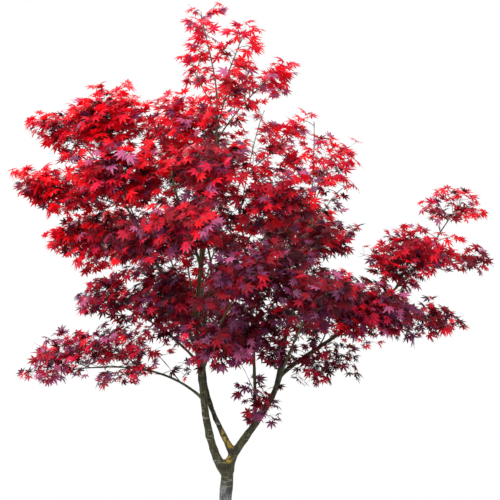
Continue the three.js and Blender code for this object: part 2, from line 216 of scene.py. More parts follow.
# in millimetres, but for the shares
trunkSizes = {
    "fork": (25, 0, 425),
    "radii": (29, 26),
    "sunk": 20,  # how far it goes on below the ground before it is cut there
    "cap": (1, 0, 12),  # how far its rounded top stands on past the fork
    "capShare": 0.5,
    "flare": 24,
    "flareHeight": 62,
    "ridges": 5,
    "ridgeShare": 0.22,
    "ridgesEnd": 300,
}

# name, parent, share of the parent where it starts, tip, rise, settle, radii
limbRows = [
    ("leftStem", "trunk", 0.88, (-110, -20, 960), (-99, -4, 87), (-25, -5, 220), (18.5, 10.4)),
    ("rightStem", "trunk", 0.9, (245, 20, 783), (4, 0, 90), (58, 8, 180), (18.5, 11)),
    ("middleStem", "rightStem", 0.16, (-60, 130, 1180), (-100, 20, 200), (75, 40, 460), (13, 6)),
    ("leader", "leftStem", 1, (-30, 0, 2030), (0, 0, 200), (-30, -10, 300), (9.8, 4.5)),
    ("leftRiser", "leftStem", 0.86, (-490, -40, 1660), (-60, 5, 170), (-175, -15, 310), (8.5, 3.6)),
    ("innerLeftBough", "leader", 0.28, (-240, 40, 1830), (-50, -5, 150), (-5, 15, 240), (6, 3.6)),
    ("lowLeftBough", "leftStem", 0.56, (-555, -25, 830), (-85, -5, 75), (-270, 0, -20), (5.8, 3.2)),
    ("leftSkirtBough", "leftStem", 0.8, (-375, -30, 1065), (-60, 0, 80), (-100, -5, 50), (6, 3.4)),
    ("centreStem", "rightStem", 0.5, (60, -30, 1550), (10, -5, 190), (-60, 10, 300), (7.5, 3.6)),
    ("rightBough", "rightStem", 1, (700, 0, 1130), (0, 0, 45), (190, 0, 170), (10.2, 5.6)),
    ("rightArm", "rightBough", 1, (925, 10, 1390), (70, 0, 70), (60, 0, 110), (5.2, 3.4)),
    ("rightRiser", "rightStem", 0.93, (395, 20, 1560), (25, 0, 230), (20, 0, 260), (8, 3.6)),
    ("frontLowBough", "leftStem", 0.72, (40, -370, 1120), (30, -90, 100), (50, -130, 95), (7, 3.6)),
    ("frontHighBough", "leader", 0.22, (-80, -290, 1560), (5, -80, 130), (-5, -80, 130), (6.5, 3.6)),
    ("frontRightBough", "rightStem", 0.86, (350, -360, 1100), (20, -80, 80), (30, -130, 85), (6.8, 3.6)),
    ("backLowBough", "middleStem", 0.52, (-130, 400, 1060), (-10, 80, 90), (-25, 120, 65), (6, 3.4)),
    ("backLeftBough", "middleStem", 0.72, (-390, 370, 1330), (-60, 70, 100), (-120, 90, 80), (6, 3.4)),
    ("backHighBough", "middleStem", 1, (-145, 310, 1590), (-15, 25, 140), (-30, 60, 150), (5.6, 3.6)),
    ("backRightBough", "rightRiser", 0.3, (300, 380, 1370), (5, 90, 110), (0, 120, 90), (6, 3.4)),
]

# finer stems than the solids have, given the same way
fineRows = [
    ("slimLeft", "leader", 0.02, (-255, -60, 1400), (-25, -12, 100), (-40, -15, 150), (4.8, 2.2)),
    ("slimUpright", "leader", 0.05, (-185, -70, 1500), (-10, -12, 120), (-20, -10, 170), (4.4, 2.2)),
    ("slimRight", "leader", 0.03, (-10, -90, 1420), (5, -12, 120), (40, -15, 150), (4.2, 2.2)),
    ("slimLow", "leftStem", 0.9, (-330, -120, 1270), (-45, -10, 60), (-60, -30, 90), (4.2, 2)),
    ("slimInner", "centreStem", 0.3, (185, -110, 1420), (10, -15, 120), (35, -15, 150), (3.6, 2)),
    ("fanUp", "rightRiser", 0.86, (392, 10, 1885), (0, 0, 80), (-4, 0, 110), (3, 1.3)),
    ("fanOut", "rightRiser", 0.94, (540, 10, 1768), (18, 0, 55), (90, 0, 25), (2.6, 1.2)),
    ("fanLow", "rightRiser", 0.8, (532, -20, 1608), (25, -5, 30), (75, 0, 30), (2.6, 1.2)),
    ("fanMid", "rightRiser", 0.62, (600, 10, 1420), (30, 0, 30), (90, 0, -5), (2.6, 1.2)),
    ("tierLeft", "leftRiser", 0.78, (-665, -30, 1745), (-20, -5, 30), (-75, 0, 20), (2.6, 1.2)),
    ("fanLeft", "centreStem", 0.93, (178, -20, 1930), (15, 0, 80), (45, 0, 95), (2.8, 1.3)),
    ("sprayTwig", "centreStem", 0.12, (98, -40, 752), (-12, -6, 6), (-16, 0, 10), (1.8, 0.9)),
    ("archLeft", "centreStem", 0.14, (48, -20, 864), (-22, 0, 44), (-34, 0, 0), (1.7, 0.8)),
    ("archRight", "centreStem", 0.05, (208, -30, 745), (12, 0, 40), (32, 0, 2), (1.5, 0.8)),
    ("hangOut", "lowLeftBough", 0.56, (-474, -40, 764), (-30, -4, 0), (-16, 0, -40), (1.8, 0.9)),
    ("hangIn", "lowLeftBough", 0.4, (-362, -36, 796), (-20, 0, 0), (-12, 0, -22), (1.5, 0.8)),
    ("tipLeft", "leftRiser", 0.72, (-852, -30, 1662), (-60, 0, 10), (-110, 0, 35), (2.6, 1.1)),
    ("hangEnd", "lowLeftBough", 0.97, (-782, -30, 794), (-60, 0, -4), (-40, 0, -20), (2, 1)),
    ("archLow", "lowLeftBough", 0.22, (-330, -30, 905), (-40, 0, 30), (-70, 0, 5), (2.2, 1)),
]

# in metres, but for shares and counts
barkSizes = {
    "stems": ("trunk", "leftStem", "rightStem", "middleStem"),
    "stemStep": 0.005,
    "boughStep": 0.008,
    "voxel": 0.0028,
    "runOn": ("leader", "rightBough"),  # limbs that carry another on, and so have no collar
    "collar": 0.55,
    "collarLength": 0.012,
    "collarFade": 2.6,
    "forkReach": 0.055,
    "forkRounds": 14,
    "skinRounds": 2,
    "furrows": 0.0007,
    "lumps": 0.0026,
    "boughRelief": 0.5,
    "knotReach": 0.011,
}

# limb, share of its length, how far the smoothed fork's middle lies from there
forkSpots = [("trunk", 0.93, (0.004, 0, 0.02)), ("rightStem", 0.16, (-0.004, 0.002, 0.02))]

# limb, share of its length, how far a knot stands out of it in millimetres
knotRows = [
    ("leftStem", 0.13, 1.6),
    ("leftStem", 0.3, 2.2),
    ("leftStem", 0.47, 1.4),
    ("leftStem", 0.7, 1.6),
    ("rightStem", 0.34, 1.8),
    ("rightStem", 0.62, 1.5),
    ("rightStem", 0.8, 1.4),
    ("middleStem", 0.06, 1.6),
    ("middleStem", 0.13, 1.4),
    ("middleStem", 0.3, 1.2),
    ("trunk", 0.72, 1.6),
    ("trunk", 0.4, 1.4),
]


def limbCurves():
    fork = np.array(trunkSizes["fork"]) * mm
    up = np.array([0, 0, fork[2]])
    curves = {"trunk": bend(np.zeros(3), up * 0.35, np.array([fork[0] * 0.5, 0, fork[2] * 0.7]), fork)}
    radii = {"trunk": np.array(trunkSizes["radii"]) * mm}
    for name, parent, share, tip, rise, settle, ends in limbRows + fineRows:
        start = placeOn(curves[parent], share)
        lift = np.array(rise) * mm
        if share == 1:
            lift = headingOn(curves[parent], 1) * np.linalg.norm(lift)
        end = np.array(tip) * mm
        curves[name] = bend(start, start + lift, end - np.array(settle) * mm, end)
        radii[name] = np.array(ends) * mm
    return curves, radii


limbs, limbRadii = limbCurves()


def limbRadius(name, share):
    return np.interp(share, [0, 1], limbRadii[name])


# the middles and radii of a limb's rings, with root flare or collar and knots
def limbRings(name, spacing):
    curve = limbs[name]
    shares = np.linspace(0, 1, max(8, int(curve["length"] / spacing)))
    places = placeOn(curve, shares)
    radii = limbRadius(name, shares)
    run = shares * curve["length"]
    if name == "trunk":
        radii = radii + trunkSizes["flare"] * mm * np.exp(-run / (trunkSizes["flareHeight"] * mm))
        foot = places[0] - np.array([0, 0, trunkSizes["sunk"]]) * mm
        places = np.concatenate([[foot], places, [places[-1] + np.array(trunkSizes["cap"]) * mm]])
        radii = np.concatenate([[radii[0]], radii, [radii[-1] * trunkSizes["capShare"]]])
        run = np.concatenate([[0], run, [run[-1]]])
    elif name not in barkSizes["runOn"]:
        past = np.maximum(run - barkSizes["collarLength"], 0)
        fade = barkSizes["collarFade"] * limbRadii[name][0]
        radii = radii * (1 + barkSizes["collar"] * np.exp(-past / fade))
    for limb, share, out in knotRows:
        if limb == name:
            away = (run - share * curve["length"]) / barkSizes["knotReach"]
            radii = radii + out * mm * np.exp(-(away**2))
    return places, radii


def evaluated(made):
    bpy.context.view_layer.update()
    return bpy.data.meshes.new_from_object(made.evaluated_get(bpy.context.evaluated_depsgraph_get()))


def roundLimb(name, spacing, sides):
    places, radii = limbRings(name, spacing)
    data = bpy.data.curves.new(name, "CURVE")
    data.dimensions = "3D"
    data.bevel_depth = 1
    data.bevel_resolution = sides
    data.use_fill_caps = True
    line = data.splines.new("POLY")
    line.points.add(len(places) - 1)
    for point, place, radius in zip(line.points, places, radii):
        point.co = (*place, 1)
        point.radius = radius
    made = linked(name + "Line", data)
    mesh = evaluated(made)
    bpy.data.objects.remove(made)
    return mesh


def joinedLimbs(name, parts, spacing, sides):
    shape = bmesh.new()
    for part in parts:
        mesh = roundLimb(part, spacing, sides)
        shape.from_mesh(mesh)
        bpy.data.meshes.remove(mesh)
    bmesh.ops.remove_doubles(shape, verts=shape.verts, dist=1e-6)
    bmesh.ops.recalc_face_normals(shape, faces=shape.faces)
    return shaped(name, shape)


def smoothed(shape, verts, rounds):
    for _ in range(rounds):
        bmesh.ops.smooth_vert(
            shape, verts=verts, factor=0.5, use_axis_x=True, use_axis_y=True, use_axis_z=True
        )


# furrows along the bark, finer ones in them, and broad lumps
def barkRelief(shape, furrows, lumps):
    shape.normal_update()
    moves = []
    for vert in shape.verts:
        x, y, z = vert.co
        along = noise.noise(Vector((x * 330, y * 330, z * 34)))
        fine = noise.noise(Vector((x * 900, y * 900, z * 120)))
        broad = noise.noise(Vector((x * 42, y * 42, z * 26 + 7)))
        moves.append(vert.normal * (furrows * (along + 0.4 * fine) + lumps * broad))
    for vert, move in zip(shape.verts, moves):
        vert.co += move


def rootRidges(shape):
    tall = trunkSizes["flareHeight"] * mm
    for vert in shape.verts:
        if vert.co.z > trunkSizes["ridgesEnd"] * mm:
            continue
        flare = math.exp(-max(vert.co.z, 0) / tall)
        angle = math.atan2(vert.co.x, vert.co.y)
        out = Vector((vert.co.x, vert.co.y, 0))
        vert.co += out * trunkSizes["ridgeShare"] * flare * flare * math.cos(trunkSizes["ridges"] * angle)


# the trunk and its stems grown into one skin, smoothed at the forks, and cut flat at the ground
def stemsPiece():
    made = joinedLimbs("trunkAndStems", barkSizes["stems"], barkSizes["stemStep"], 6)
    remesh = made.modifiers.new("skin", "REMESH")
    remesh.mode = "VOXEL"
    remesh.voxel_size = barkSizes["voxel"]
    skin = evaluated(made)
    made.modifiers.clear()
    old = made.data
    made.data = skin
    bpy.data.meshes.remove(old)
    skin.name = "trunkAndStems"
    shape = bmesh.new()
    shape.from_mesh(skin)
    forks = [Vector(placeOn(limbs[limb], share) + offset) for limb, share, offset in forkSpots]
    near = [v for v in shape.verts if min((v.co - fork).length for fork in forks) < barkSizes["forkReach"]]
    smoothed(shape, near, barkSizes["forkRounds"])
    smoothed(shape, shape.verts, barkSizes["skinRounds"])
    rootRidges(shape)
    barkRelief(shape, barkSizes["furrows"], barkSizes["lumps"])
    whole = [*shape.verts, *shape.edges, *shape.faces]
    cut = bmesh.ops.bisect_plane(
        shape, geom=whole, plane_co=(0, 0, 0), plane_no=(0, 0, 1), clear_inner=True
    )
    bmesh.ops.holes_fill(shape, edges=[e for e in cut["geom_cut"] if isinstance(e, bmesh.types.BMEdge)])
    bmesh.ops.recalc_face_normals(shape, faces=shape.faces)
    shape.to_mesh(skin)
    shape.free()
    return made


def boughsPiece():
    thin = [row[0] for row in limbRows + fineRows if row[0] not in barkSizes["stems"]]
    made = joinedLimbs("boughs", thin, barkSizes["boughStep"], 4)
    shape = bmesh.new()
    shape.from_mesh(made.data)
    part = barkSizes["boughRelief"]
    barkRelief(shape, barkSizes["furrows"] * part, barkSizes["lumps"] * part)
    shape.to_mesh(made.data)
    shape.free()
    return made


# noise on the bark: scale, how far it is stretched each way, detail
barkNoises = {
    "streaks": (170, (1, 1, 0.1), 4),
    "patches": (34, (1, 1, 0.45), 6),
    "rings": (120, (0.16, 0.16, 1.4), 2),
    "clumps": (60, (1, 1, 0.5), 4),
    "mottle": (80, (1, 1, 0.6), 4),
    "grain": (420, (1, 1, 0.2), 6),
}

# brown bark, a lighter olive further up, partly its own tone and partly painted light where the crown shades
# the stems, and grey at the foot, each from its streaks' darkest to their palest
barkColours = {
    "brown": [(0.32, (0.005, 0.0048, 0.0018)), (0.5, (0.019, 0.0172, 0.0066)), (0.72, (0.064, 0.058, 0.025))],
    "olive": [(0.3, (0.045, 0.04, 0.014)), (0.7, (0.2, 0.18, 0.075))],
    "oliveFrom": (0.85, 1.15),
    "grey": [(0.3, (0.03, 0.031, 0.034)), (0.5, (0.085, 0.09, 0.098)), (0.72, (0.19, 0.2, 0.215))],
    "greyBelow": (0.345, 0.245),
    "lichen": (0.22, 0.145, 0.014),
    # painted shade for the crotches of the forks
    "forkShade": (0.012, 0.01, 0.007),
}

# what lies on the bark, or shade painted on it, its noise, where that starts and is full, two heights, the
# shares there, colour
barkLayers = [
    ("worn", "patches", (0.48, 0.6), (0.36, 0.27), (0, 0.6), (0.17, 0.175, 0.18)),
    ("tan", "patches", (0.5, 0.64), (0.3, 0.5), (0, 0.5), (0.082, 0.073, 0.034)),
    # painted shade: near-black patches, more of them lower down the stems
    ("lowerShade", "patches", (0.5, 0.36), (0.9, 0.5), (0.35, 0.85), (0.013, 0.011, 0.008)),
    ("scars", "rings", (0.62, 0.68), (1.1, 0.8), (0, 0.55), (0.21, 0.2, 0.17)),
    ("moss", "clumps", (0.5, 0.62), (0.4, 0.55), (0, 0.5), (0.05, 0.05, 0.012)),
]

# places on the bark with yellow lichen, and painted shade in the crotches of the forks, and how far each
# reaches
lichenSpots = [((0.012, 0.0, 0.535), 0.045), ((0.02, -0.02, 0.44), 0.03), ((0.035, 0.0, 0.5), 0.03)]
forkShadeSpots = [((0.028, 0, 0.452), 0.03), ((0.0, -0.02, 0.405), 0.024), ((0.05, -0.01, 0.492), 0.02)]


def barkMaterial():
    paint, tree, base = newPaint("greyMapleBark")
    place = addNode(tree, "TexCoord").outputs["Object"]

    def noiseAt(scale, stretch, detail):
        turn = addNode(tree, "Mapping", {"Scale": stretch})
        grain = addNode(tree, "TexNoise", {"Scale": scale, "Detail": detail})
        wire(tree, (place, turn.inputs[0]), (turn.outputs[0], grain.inputs["Vector"]))
        return grain.outputs["Fac"]

    def ramp(source, stops):
        made = addNode(tree, "ValToRGB")
        while len(made.color_ramp.elements) < len(stops):
            made.color_ramp.elements.new(0.5)
        for stop, (at, colour) in zip(made.color_ramp.elements, stops):
            stop.position = at
            stop.color = (*colour, 1)
        wire(tree, (source, made.inputs[0]))
        return made.outputs[0]

    def span(source, low, high, least=0.0, most=1.0):
        made = addNode(tree, "MapRange", {"From Min": low, "From Max": high, "To Min": least, "To Max": most})
        made.interpolation_type = "SMOOTHSTEP"
        wire(tree, (source, made.inputs["Value"]))
        return made.outputs[0]

    def times(a, b):
        made = addNode(tree, "Math", operation="MULTIPLY")
        wire(tree, (a, made.inputs[0]), (b, made.inputs[1]))
        return made.outputs[0]

    def blendOf(share, under, over):
        made = addNode(tree, "Mix")
        made.data_type = "RGBA"
        wire(tree, (share, made.inputs[0]), (under, made.inputs[6]))
        if isinstance(over, tuple):
            made.inputs[7].default_value = (*over, 1)
        else:
            wire(tree, (over, made.inputs[7]))
        return made.outputs[2]

    def patchAt(spot, reach, grain):
        gap = addNode(tree, "VectorMath", {1: spot}, "DISTANCE")
        wire(tree, (place, gap.inputs[0]))
        return times(span(gap.outputs["Value"], reach, reach * 0.3), span(grain, 0.46, 0.6))

    split = addNode(tree, "SeparateXYZ")
    wire(tree, (place, split.inputs[0]))
    height = split.outputs["Z"]
    noises = {name: noiseAt(*facts) for name, facts in barkNoises.items()}
    brown, olive, grey = [ramp(noises["streaks"], barkColours[name]) for name in ("brown", "olive", "grey")]
    # partly painted light: the bark turns a lighter olive higher up, in the crown's shade
    colour = blendOf(span(height, *barkColours["oliveFrom"]), brown, olive)
    colour = blendOf(span(height, *barkColours["greyBelow"]), colour, grey)
    for _, follows, reach, heights, shares, over in barkLayers:
        share = times(span(noises[follows], *reach), span(height, *heights, *shares))
        colour = blendOf(share, colour, over)
    for spot, reach in lichenSpots:
        colour = blendOf(patchAt(spot, reach, noises["mottle"]), colour, barkColours["lichen"])
    # painted shade darkens the crotches of the forks
    for spot, reach in forkShadeSpots:
        colour = blendOf(patchAt(spot, reach, noises["streaks"]), colour, barkColours["forkShade"])
    base.inputs["Specular IOR Level"].default_value = 0.22
    bump = addNode(tree, "Bump", {"Strength": 0.7, "Distance": 0.0025})
    wire(
        tree,
        (noises["grain"], bump.inputs["Height"]),
        (colour, base.inputs["Base Color"]),
        (span(noises["streaks"], 0.2, 0.8, 0.62, 0.92), base.inputs["Roughness"]),
        (bump.outputs[0], base.inputs["Normal"]),
    )
    return paint


bark = barkMaterial()
for piece, nodesStoodFor in (
    (stemsPiece(), barkSizes["stems"]),
    (boughsPiece(), [row[0] for row in limbRows if row[0] not in barkSizes["stems"]]),
):
    piece.data.materials.clear()
    piece.data.materials.append(bark)
    piece.data.polygons.foreach_set("use_smooth", [True] * len(piece.data.polygons))
    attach(piece, "root")
    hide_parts(*nodesStoodFor)
    print(piece.name, len(piece.data.polygons), "faces")

# name, limb, share of the limb where its stem starts, centre, half sizes, region, tint mix (autumn tints,
# with light and shade painted in by where the mass lies), fullness
massRows = [
    ("spireTip", "leader", 1, (-90, 10, 2318), (66, 90, 107), "top", "light", 0.85),
    ("spireRight", "leader", 0.93, (72, -60, 2202), (80, 90, 108), "top", "light", 0.58),
    ("spireLeft", "leader", 0.88, (-125, 40, 2098), (65, 95, 128), "top", "light", 0.65),
    ("shoulderRight", "leader", 0.78, (186, 0, 2064), (160, 120, 75), "top", "light", 0.6),
    ("shoulderFront", "leader", 0.83, (20, -130, 1985), (105, 110, 100), "top", "bright", 0.5),
    ("shoulderBack", "leader", 0.68, (-90, 100, 1890), (130, 130, 105), "top", "bright", 0.55),
    ("crownLeftIn", "innerLeftBough", 1, (-235, 50, 1860), (120, 130, 120), "leftHigh", "light", 0.8),
    ("crownLeftMid", "leftRiser", 1, (-500, -60, 1890), (165, 150, 130), "leftHigh", "flaming", 1.2),
    ("crownLeftOut", "leftRiser", 0.93, (-672, 20, 1866), (170, 110, 98), "leftHigh", "flaming", 1),
    ("leftOut", "leftRiser", 0.8, (-680, -40, 1582), (205, 130, 100), "leftHigh", "flaming", 1.2),
    ("leftIn", "leftRiser", 0.66, (-420, -250, 1640), (185, 150, 125), "leftHigh", "bright", 1.2),
    ("leftLowOut", "leftRiser", 0.5, (-590, 60, 1385), (170, 130, 138), "leftLow", "bright", 1.35),
    ("leftLowIn", "leftRiser", 0.35, (-320, -300, 1380), (130, 150, 110), "leftLow", "dusky", 0.75),
    ("leftSkirtOut", "leftSkirtBough", 1, (-490, -30, 1116), (160, 130, 90), "leftLow", "dusky", 1.05),
    ("leftSkirtIn", "leftSkirtBough", 0.45, (-245, -160, 1110), (118, 130, 126), "leftLow", "shaded", 1.05),
    ("lowLeftOut", "lowLeftBough", 1, (-672, -20, 888), (152, 110, 88), "leftLow", "rosy", 1),
    ("lowLeftIn", "lowLeftBough", 0.55, (-480, -40, 926), (138, 120, 110), "leftLow", "rosy", 0.95),
    ("heartHigh", "frontHighBough", 1, (-45, -330, 1672), (150, 150, 112), "heart", "warm", 1.05),
    ("heartMid", "frontHighBough", 0.5, (-130, -470, 1435), (155, 150, 115), "heart", "mixed", 1),
    ("heartLow", "frontLowBough", 1, (85, -500, 1222), (140, 150, 104), "heart", "plummy", 1.2),
    ("skirtFront", "frontLowBough", 0.4, (0, -280, 955), (150, 140, 90), "heart", "plummy", 1.1),
    ("rightTopIn", "centreStem", 1, (250, 30, 1775), (115, 130, 112), "right", "light", 0.5),
    ("rightTopOut", "rightRiser", 1, (448, 10, 1692), (142, 140, 120), "right", "light", 0.43),
    ("rightMidIn", "centreStem", 0.78, (228, -230, 1536), (160, 150, 110), "right", "warm", 0.95),
    ("rightMidOut", "rightRiser", 0.62, (446, 20, 1364), (112, 130, 76), "right", "dusky", 0.9),
    ("rightMidLow", "centreStem", 0.5, (225, -400, 1300), (140, 150, 95), "right", "plummy", 1.1),
    ("rightFront", "frontRightBough", 1, (400, -500, 1170), (160, 160, 90), "right", "plummy", 1.3),
    ("centreSkirt", "centreStem", 0.34, (150, -100, 1010), (130, 130, 110), "right", "shaded", 1),
    ("rightSkirt", "rightBough", 0.18, (395, -20, 850), (190, 150, 75), "right", "deep", 0.43),
    ("rightLowMid", "rightBough", 0.5, (640, -160, 1080), (165, 140, 122), "arm", "rosy", 1.6),
    ("rightLowOut", "rightBough", 0.82, (870, 30, 1025), (155, 120, 92), "arm", "dusky", 1),
    ("armLow", "rightArm", 0.15, (797, -40, 1304), (148, 140, 110), "arm", "mixed", 1.25),
    ("armOut", "rightArm", 0.55, (1055, 10, 1285), (140, 110, 65), "arm", "mixed", 0.72),
    ("armTop", "rightArm", 1, (1005, 20, 1505), (115, 110, 95), "arm", "bright", 0.6),
    ("stemSpray", "rightStem", 0.62, (165, -60, 640), (48, 66, 58), "right", "purple", 1.4),
    ("backLow", "backLowBough", 1, (-150, 520, 1090), (190, 170, 135), "back", "shaded", 0.9),
    ("backLeft", "backLeftBough", 1, (-530, 480, 1400), (200, 170, 135), "back", "mixed", 1),
    ("backTop", "backHighBough", 1, (-160, 400, 1710), (185, 170, 140), "back", "mixed", 1),
    ("backRight", "backRightBough", 1, (350, 500, 1450), (200, 170, 135), "back", "mixed", 1),
    ("backRightLow", "rightBough", 0.36, (490, 420, 1070), (195, 160, 120), "back", "shaded", 0.85),
]

# stem, twig and shoot are radii in millimetres at foot and tip, the rest shares and metres
twigSizes = {
    "stem": (3.6, 1.9),
    "twig": (1.7, 0.8),
    "shoot": (0.9, 0.55),
    "overhang": 55,  # how far leaves may stand out of their mass, in millimetres
    "spacePerSpray": 1330,
    "fill": 0.98,
    "reach": (0.86, 0.3),
    "outer": (0.45, 0.4),
    "tall": 1.35,
    "flatter": 0.28,
    "taper": 0.8,
    "crowding": 0.42,
    "inward": 0.35,
    "seedStep": 0.37,
    "spread": (0.8191725, 0.6710436, 0.5497005),
    "shadedCore": 0.35,
    "evenMixes": ("deep", "light"),
    "shortest": 0.03,
    "bareFoot": 0.3,
    "nodeGap": 0.027,
    "shootShare": 0.75,
    "shootLength": (0.03, 0.035),
    "clearOfLimb": 0.012,
    "alongLimb": {"turn": 2.4, "bareFoot": 0.35, "lengths": (0.55, 0.45)},
}

# the lowest bough on the left shows bare this far out, with its leaves above this height
bareUnderside = {"masses": ("lowLeftOut", "lowLeftIn"), "outTo": -0.6, "height": 0.868}

leafSizes = {
    "lobe": 0.05,
    "lobes": ((0, 1.0), (40, 0.92), (82, 0.74), (128, 0.44)),  # angle from the middle lobe, length
    "hind": 100,  # lobes turned further back than this have no fold
    "sinus": 0.285,
    "halfWidth": 0.138,
    "droop": (-0.04, 0.38),
    "curl": 0.5,
    "cup": (0.1, 0.35),
    "wander": 9,
    "stalk": 0.023,
    "stalkThick": 0.011,
    "moulds": 12,
    "cell": 2.3,  # how many lobes wide a leaf's cell is in the baking map
    "sizes": (0.52, 0.48),
    "smallerLow": 0.14,
    "lowFrom": (1.8, 0.5),
    "sameTint": 0.45,
}

# how leaves face: up, out and sideways, and how that changes high in the crown
leafHabit = {
    "high": (1.1, 0.8),
    "up": (0.76, 0.2),
    "out": (0.42, -0.15),
    "tilt": 1.75,
    "toFront": 0.12,
    "stray": 0.9,
    "lift": (0.02, 0.5),
}


# each mass has one stem, which leaves its limb and ends inside the mass
def massCurves():
    masses = []
    for index, (name, limb, share, centre, half, region, mix, full) in enumerate(massRows):
        centre, half = np.array(centre) * mm, np.array(half) * mm
        start = placeOn(limbs[limb], share)
        tangent = headingOn(limbs[limb], share)
        heading = centre - start
        length = np.linalg.norm(heading)
        onward = unit(heading) * half * 0.4
        lean = tangent if share == 1 else unit(unit(heading) + 0.5 * tangent)
        masses.append(
            {
                "name": name,
                "centre": centre,
                "half": half,
                "curve": bend(start, start + lean * length * 0.35, centre - 0.6 * onward, centre + onward),
                "region": region,
                "mix": mix,
                "full": full,
                "seed": index + 1,
                "foot": min(twigSizes["stem"][0] * mm, 0.92 * limbRadius(limb, share)),
            }
        )
    return masses


# where on a mass's stem the twig to a tip starts: somewhat before the nearest place
def footOn(curve, tip):
    shares = np.linspace(0, 1, 21)
    gaps = np.linalg.norm(placeOn(curve, shares) - tip, axis=1)
    nearest = shares[gaps.argmin()]
    return float(np.clip(nearest - 0.6 * gaps.min() / curve["length"], 0.12, 0.97))


def mirroredLobes():
    middle, *sides = leafSizes["lobes"]
    return [(-angle, length) for angle, length in reversed(sides)] + [middle] + sides


# one leaf with a fold along each lobe. Marks say how far along its lobe a corner lies, and its side
def leafMould(random):
    rows = mirroredLobes()
    droop = ranged(leafSizes["droop"], random())
    curl = leafSizes["curl"] * (random() - 0.5)
    cup = ranged(leafSizes["cup"], random())
    angles = [angle + leafSizes["wander"] * (random() - 0.5) for angle, _ in rows]
    lengths = [length * ranged((0.9, 0.2), random()) for _, length in rows]
    places, faces, marks = [(0, 0, 0)], [], []

    def put(radius, degrees, aside=0.0, lift=0.0):
        angle = math.radians(degrees)
        x = radius * math.cos(angle) - aside * math.sin(angle)
        y = radius * math.sin(angle) + aside * math.cos(angle)
        r = math.hypot(x, y)
        z = -droop * r**1.7 + lift + curl * x * y + cup * 0.15 * min(r, 0.4)
        places.append((x, y, z))
        return len(places) - 1

    def between(i):
        low = min(lengths[i], lengths[i + 1])
        return put(leafSizes["sinus"] * (0.55 + 0.45 * low), (angles[i] + angles[i + 1]) / 2, 0, 0.02)

    sinuses = [between(i) for i in range(len(rows) - 1)]
    backs = [put(0.1, angles[0] - 24), put(0.1, angles[-1] + 24)]
    edges = [backs[0], *sinuses, backs[1]]
    for i, (angle, length) in enumerate(zip(angles, lengths)):
        left, right = edges[i], edges[i + 1]
        width = leafSizes["halfWidth"] * (0.55 + 0.45 * length)
        fold = cup * 0.12
        tip = put(length, angle, 0.04 * (random() - 0.5))
        shoulderL = put(length * 0.5, angle, -width, fold * width * 4)
        shoulderR = put(length * 0.5, angle, width, fold * width * 4)
        mid = put(length * 0.46, angle) if abs(rows[i][0]) < leafSizes["hind"] else 0
        spots = {0: (0, 0), left: (0.3, -1), right: (0.3, 1), tip: (1, 0)}
        spots.update({shoulderL: (0.5, -1), shoulderR: (0.5, 1), mid: (0.45, 0)})
        front = [(0, left, mid), (left, shoulderL, mid), (shoulderL, tip, mid)]
        for face in (*front, (mid, tip, shoulderR), (mid, shoulderR, right), (0, mid, right)):
            if len(set(face)) == 3:
                faces.append(face)
                marks.append([spots[corner] for corner in face])
    root = addStalk(places, faces, marks)
    return {
        "places": np.array(places) * leafSizes["lobe"],
        "faces": np.array(faces),
        "marks": np.array(marks),
        "root": root * leafSizes["lobe"],
    }


# a three-sided stalk from the blade down to the twig, and where it ends there
def addStalk(places, faces, marks):
    first = len(places)
    long = leafSizes["stalk"] / leafSizes["lobe"]
    thick = leafSizes["stalkThick"]
    foot = (-0.9 * long, -0.3 * long)
    for x, z in (foot, (0.02, 0.0)):
        for k in range(3):
            angle = k * 2 * math.pi / 3
            places.append((x, thick * math.cos(angle), z + thick * math.sin(angle)))
    for k in range(3):
        a, b = first + k, first + (k + 1) % 3
        faces += [(a, b, b + 3), (a, b + 3, a + 3)]
        marks += [((0, 0), (0, 0.1), (0.1, 0.1)), ((0, 0), (0.1, 0.1), (0.1, 0))]
    return np.array([foot[0], 0, foot[1]])


masses = massCurves()
mouldRandom = seeded(4242)
moulds = [leafMould(mouldRandom) for _ in range(leafSizes["moulds"])]
crownLow = np.array(cadLow) + 0.03
crownHigh = np.array(cadHigh) - 0.03
dotShares = np.linspace(0, 1, 90)
limbDots = np.concatenate([placeOn(curve, dotShares) for curve in limbs.values()])
limbDotRadii = np.concatenate([limbRadius(name, dotShares) for name in limbs])

# each tint's base colour, how much light comes through it, its shine. They run from a red painted as sunlit
# to a maroon painted as shade, with two purples painted as the sky's reflection; the reds between are partly
# the leaves' own tones, partly painted light and shade
tints = {
    # painted light: the brightest red stands for leaves lit from above and behind
    "flame": ((0.79, 0.005, 0.014), 0.42, 0.17),
    "scarlet": ((0.62, 0.006, 0.022), 0.38, 0.16),
    "crimson": ((0.4, 0.007, 0.026), 0.32, 0.16),
    "garnet": ((0.213, 0.0035, 0.01), 0.26, 0.12),
    "wine": ((0.096, 0.0035, 0.01), 0.2, 0.09),
    # painted shade: the darkest maroon stands for leaves in shade
    "shadedDusk": ((0.03, 0.002, 0.005), 0.14, 0.07),
    # painted reflection: this purple and the mauve below stand for the sky's sheen on glossy leaf tops
    "plumSkySheen": ((0.12, 0.014, 0.06), 0.16, 0.34),
    "mauveSkySheen": ((0.33, 0.055, 0.145), 0.18, 0.4),
    "carmine": ((0.6, 0.01, 0.046), 0.36, 0.24),
}
